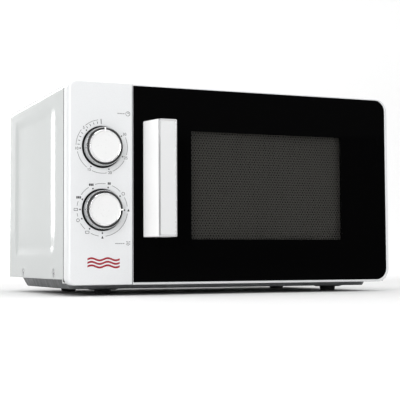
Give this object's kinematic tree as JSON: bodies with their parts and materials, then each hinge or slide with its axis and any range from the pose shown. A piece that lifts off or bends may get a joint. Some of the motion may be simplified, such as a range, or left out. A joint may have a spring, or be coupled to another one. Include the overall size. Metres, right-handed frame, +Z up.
{
  "type": "microwave oven",
  "caption": "Countertop microwave oven with a side-hinged black glass door, upright pull handle, rotary timer and power knobs, and a glass turntable.",
  "frame": {"origin": "on the table, under the centre of the bounding box", "axes": "+X along the width from the control side to the door hinge, +Y from front to back, +Z up"},
  "size_m": [0.44, 0.352, 0.2554],
  "materials": {
    "case_paint": "glossy silver-white enamel",
    "cavity_paint": "satin light grey enamel",
    "zinc_steel": "zinc-plated sheet",
    "panel_plastic": "pearl silver-white moulding",
    "white_plastic": "smooth white moulding",
    "black_plastic": "fine matt texture",
    "grey_plastic": "fine matt texture",
    "black_glass": "black printed door pane, mirror smooth",
    "clear_glass": "clear tempered glass",
    "chrome": "bright plating",
    "rubber": "matt moulded",
    "mica": "pressed mica sheet, matt",
    "board": "phenolic board",
    "aluminium": "mill finish",
    "copper_wire": "enamelled copper winding"
  },
  "bodies": {
    "chassis": {"outer_case": "case_paint", "base_pan": "zinc_steel", "rear_panel": "zinc_steel", "cord_gland": "black_plastic", "foot_1": "rubber", "foot_2": "rubber", "foot_3": "rubber", "foot_4": "rubber", "case_screw_1": "zinc_steel", "case_screw_2": "zinc_steel", "case_screw_3": "zinc_steel", "case_screw_4": "zinc_steel", "front_frame": "cavity_paint", "cavity_floor": "cavity_paint", "cavity_ceiling": "cavity_paint", "cavity_left_wall": "cavity_paint", "cavity_right_wall": "cavity_paint", "waveguide": "zinc_steel", "waveguide_cover": "mica", "magnetron_yoke": "zinc_steel", "magnetron_tube": "aluminium", "transformer_core": "zinc_steel", "transformer_coil": "copper_wire", "high_voltage_capacitor": "aluminium", "fan_shroud": "grey_plastic", "fan_motor": "zinc_steel", "filter_board": "board", "lamp_bulb": "clear_glass", "timer_unit": "grey_plastic", "timer_bell": "chrome", "interlock_board": "white_plastic", "primary_switch": "black_plastic", "secondary_switch": "black_plastic", "monitor_switch": "black_plastic", "control_panel": "panel_plastic", "turntable_motor": "zinc_steel", "hinge_upper": "zinc_steel", "hinge_lower": "zinc_steel"},
    "door": {"door_frame": "panel_plastic", "door_glass": "black_glass", "door_screen": "zinc_steel", "choke_cover": "grey_plastic", "latch_spring": "zinc_steel", "handle_body": "white_plastic", "handle_trim": "chrome", "handle_front": "panel_plastic"},
    "latch": {"door_latch": "white_plastic"},
    "timer_knob": {"timer_shaft": "zinc_steel", "timer_knob_skirt": "chrome", "timer_knob_cap": "white_plastic"},
    "power_knob": {"power_shaft": "zinc_steel", "power_knob_skirt": "chrome", "power_knob_cap": "white_plastic"},
    "turntable": {"turntable_coupler": "white_plastic", "glass_turntable": "clear_glass"},
    "roller_ring": {"roller_ring": "white_plastic"},
    "roller_1": {"roller_1": "white_plastic"},
    "roller_2": {"roller_2": "white_plastic"},
    "roller_3": {"roller_3": "white_plastic"},
    "fan": {"fan_blade": "black_plastic"}
  },
  "joints": [
    {"name": "door_hinge", "type": "hinge", "parent": "chassis", "child": "door", "pos_m": [0.2132, -0.1317, 0.134], "axis": [0, 0, 1], "range_deg": [0, 95]},
    {"name": "latch_slide", "type": "slide", "parent": "door", "child": "latch", "axis": [0, 0, 1], "range_m": [0, 0.004], "stiffness_N_per_m": 180, "springref_m": -0.006, "deforming": ["latch_spring"]},
    {"name": "timer_knob_turn", "type": "hinge", "parent": "chassis", "child": "timer_knob", "pos_m": [-0.1776, -0.143, 0.1773], "axis": [0, -1, 0], "range_deg": [0, 300]},
    {"name": "power_knob_turn", "type": "hinge", "parent": "chassis", "child": "power_knob", "pos_m": [-0.1776, -0.143, 0.1023], "axis": [0, -1, 0], "range_deg": [0, 270]},
    {"name": "turntable_turn", "type": "hinge", "parent": "chassis", "child": "turntable", "pos_m": [0.04, 0.017, 0.04], "axis": [0, 0, 1], "continuous": true},
    {"name": "roller_ring_turn", "type": "hinge", "parent": "chassis", "child": "roller_ring", "pos_m": [0.04, 0.017, 0.042], "axis": [0, 0, 1], "continuous": true},
    {"name": "roller_1_spin", "type": "hinge", "parent": "roller_ring", "child": "roller_1", "pos_m": [0.04, 0.105, 0.042], "axis": [0, 1, 0], "continuous": true},
    {"name": "roller_2_spin", "type": "hinge", "parent": "roller_ring", "child": "roller_2", "pos_m": [-0.03621, -0.027, 0.042], "axis": [-0.866, -0.5, 0], "continuous": true},
    {"name": "roller_3_spin", "type": "hinge", "parent": "roller_ring", "child": "roller_3", "pos_m": [0.11621, -0.027, 0.042], "axis": [0.866, -0.5, 0], "continuous": true},
    {"name": "fan_spin", "type": "hinge", "parent": "chassis", "child": "fan", "pos_m": [-0.167, 0.119, 0.19], "axis": [0, 1, 0], "continuous": true}
  ],
  "couplings": [
    {"joint": "roller_ring_turn", "follows": "turntable_turn", "ratio": 0.5},
    {"joint": "roller_1_spin", "follows": "turntable_turn", "ratio": -6.5672},
    {"joint": "roller_2_spin", "follows": "turntable_turn", "ratio": -6.5672},
    {"joint": "roller_3_spin", "follows": "turntable_turn", "ratio": -6.5672}
  ]
}
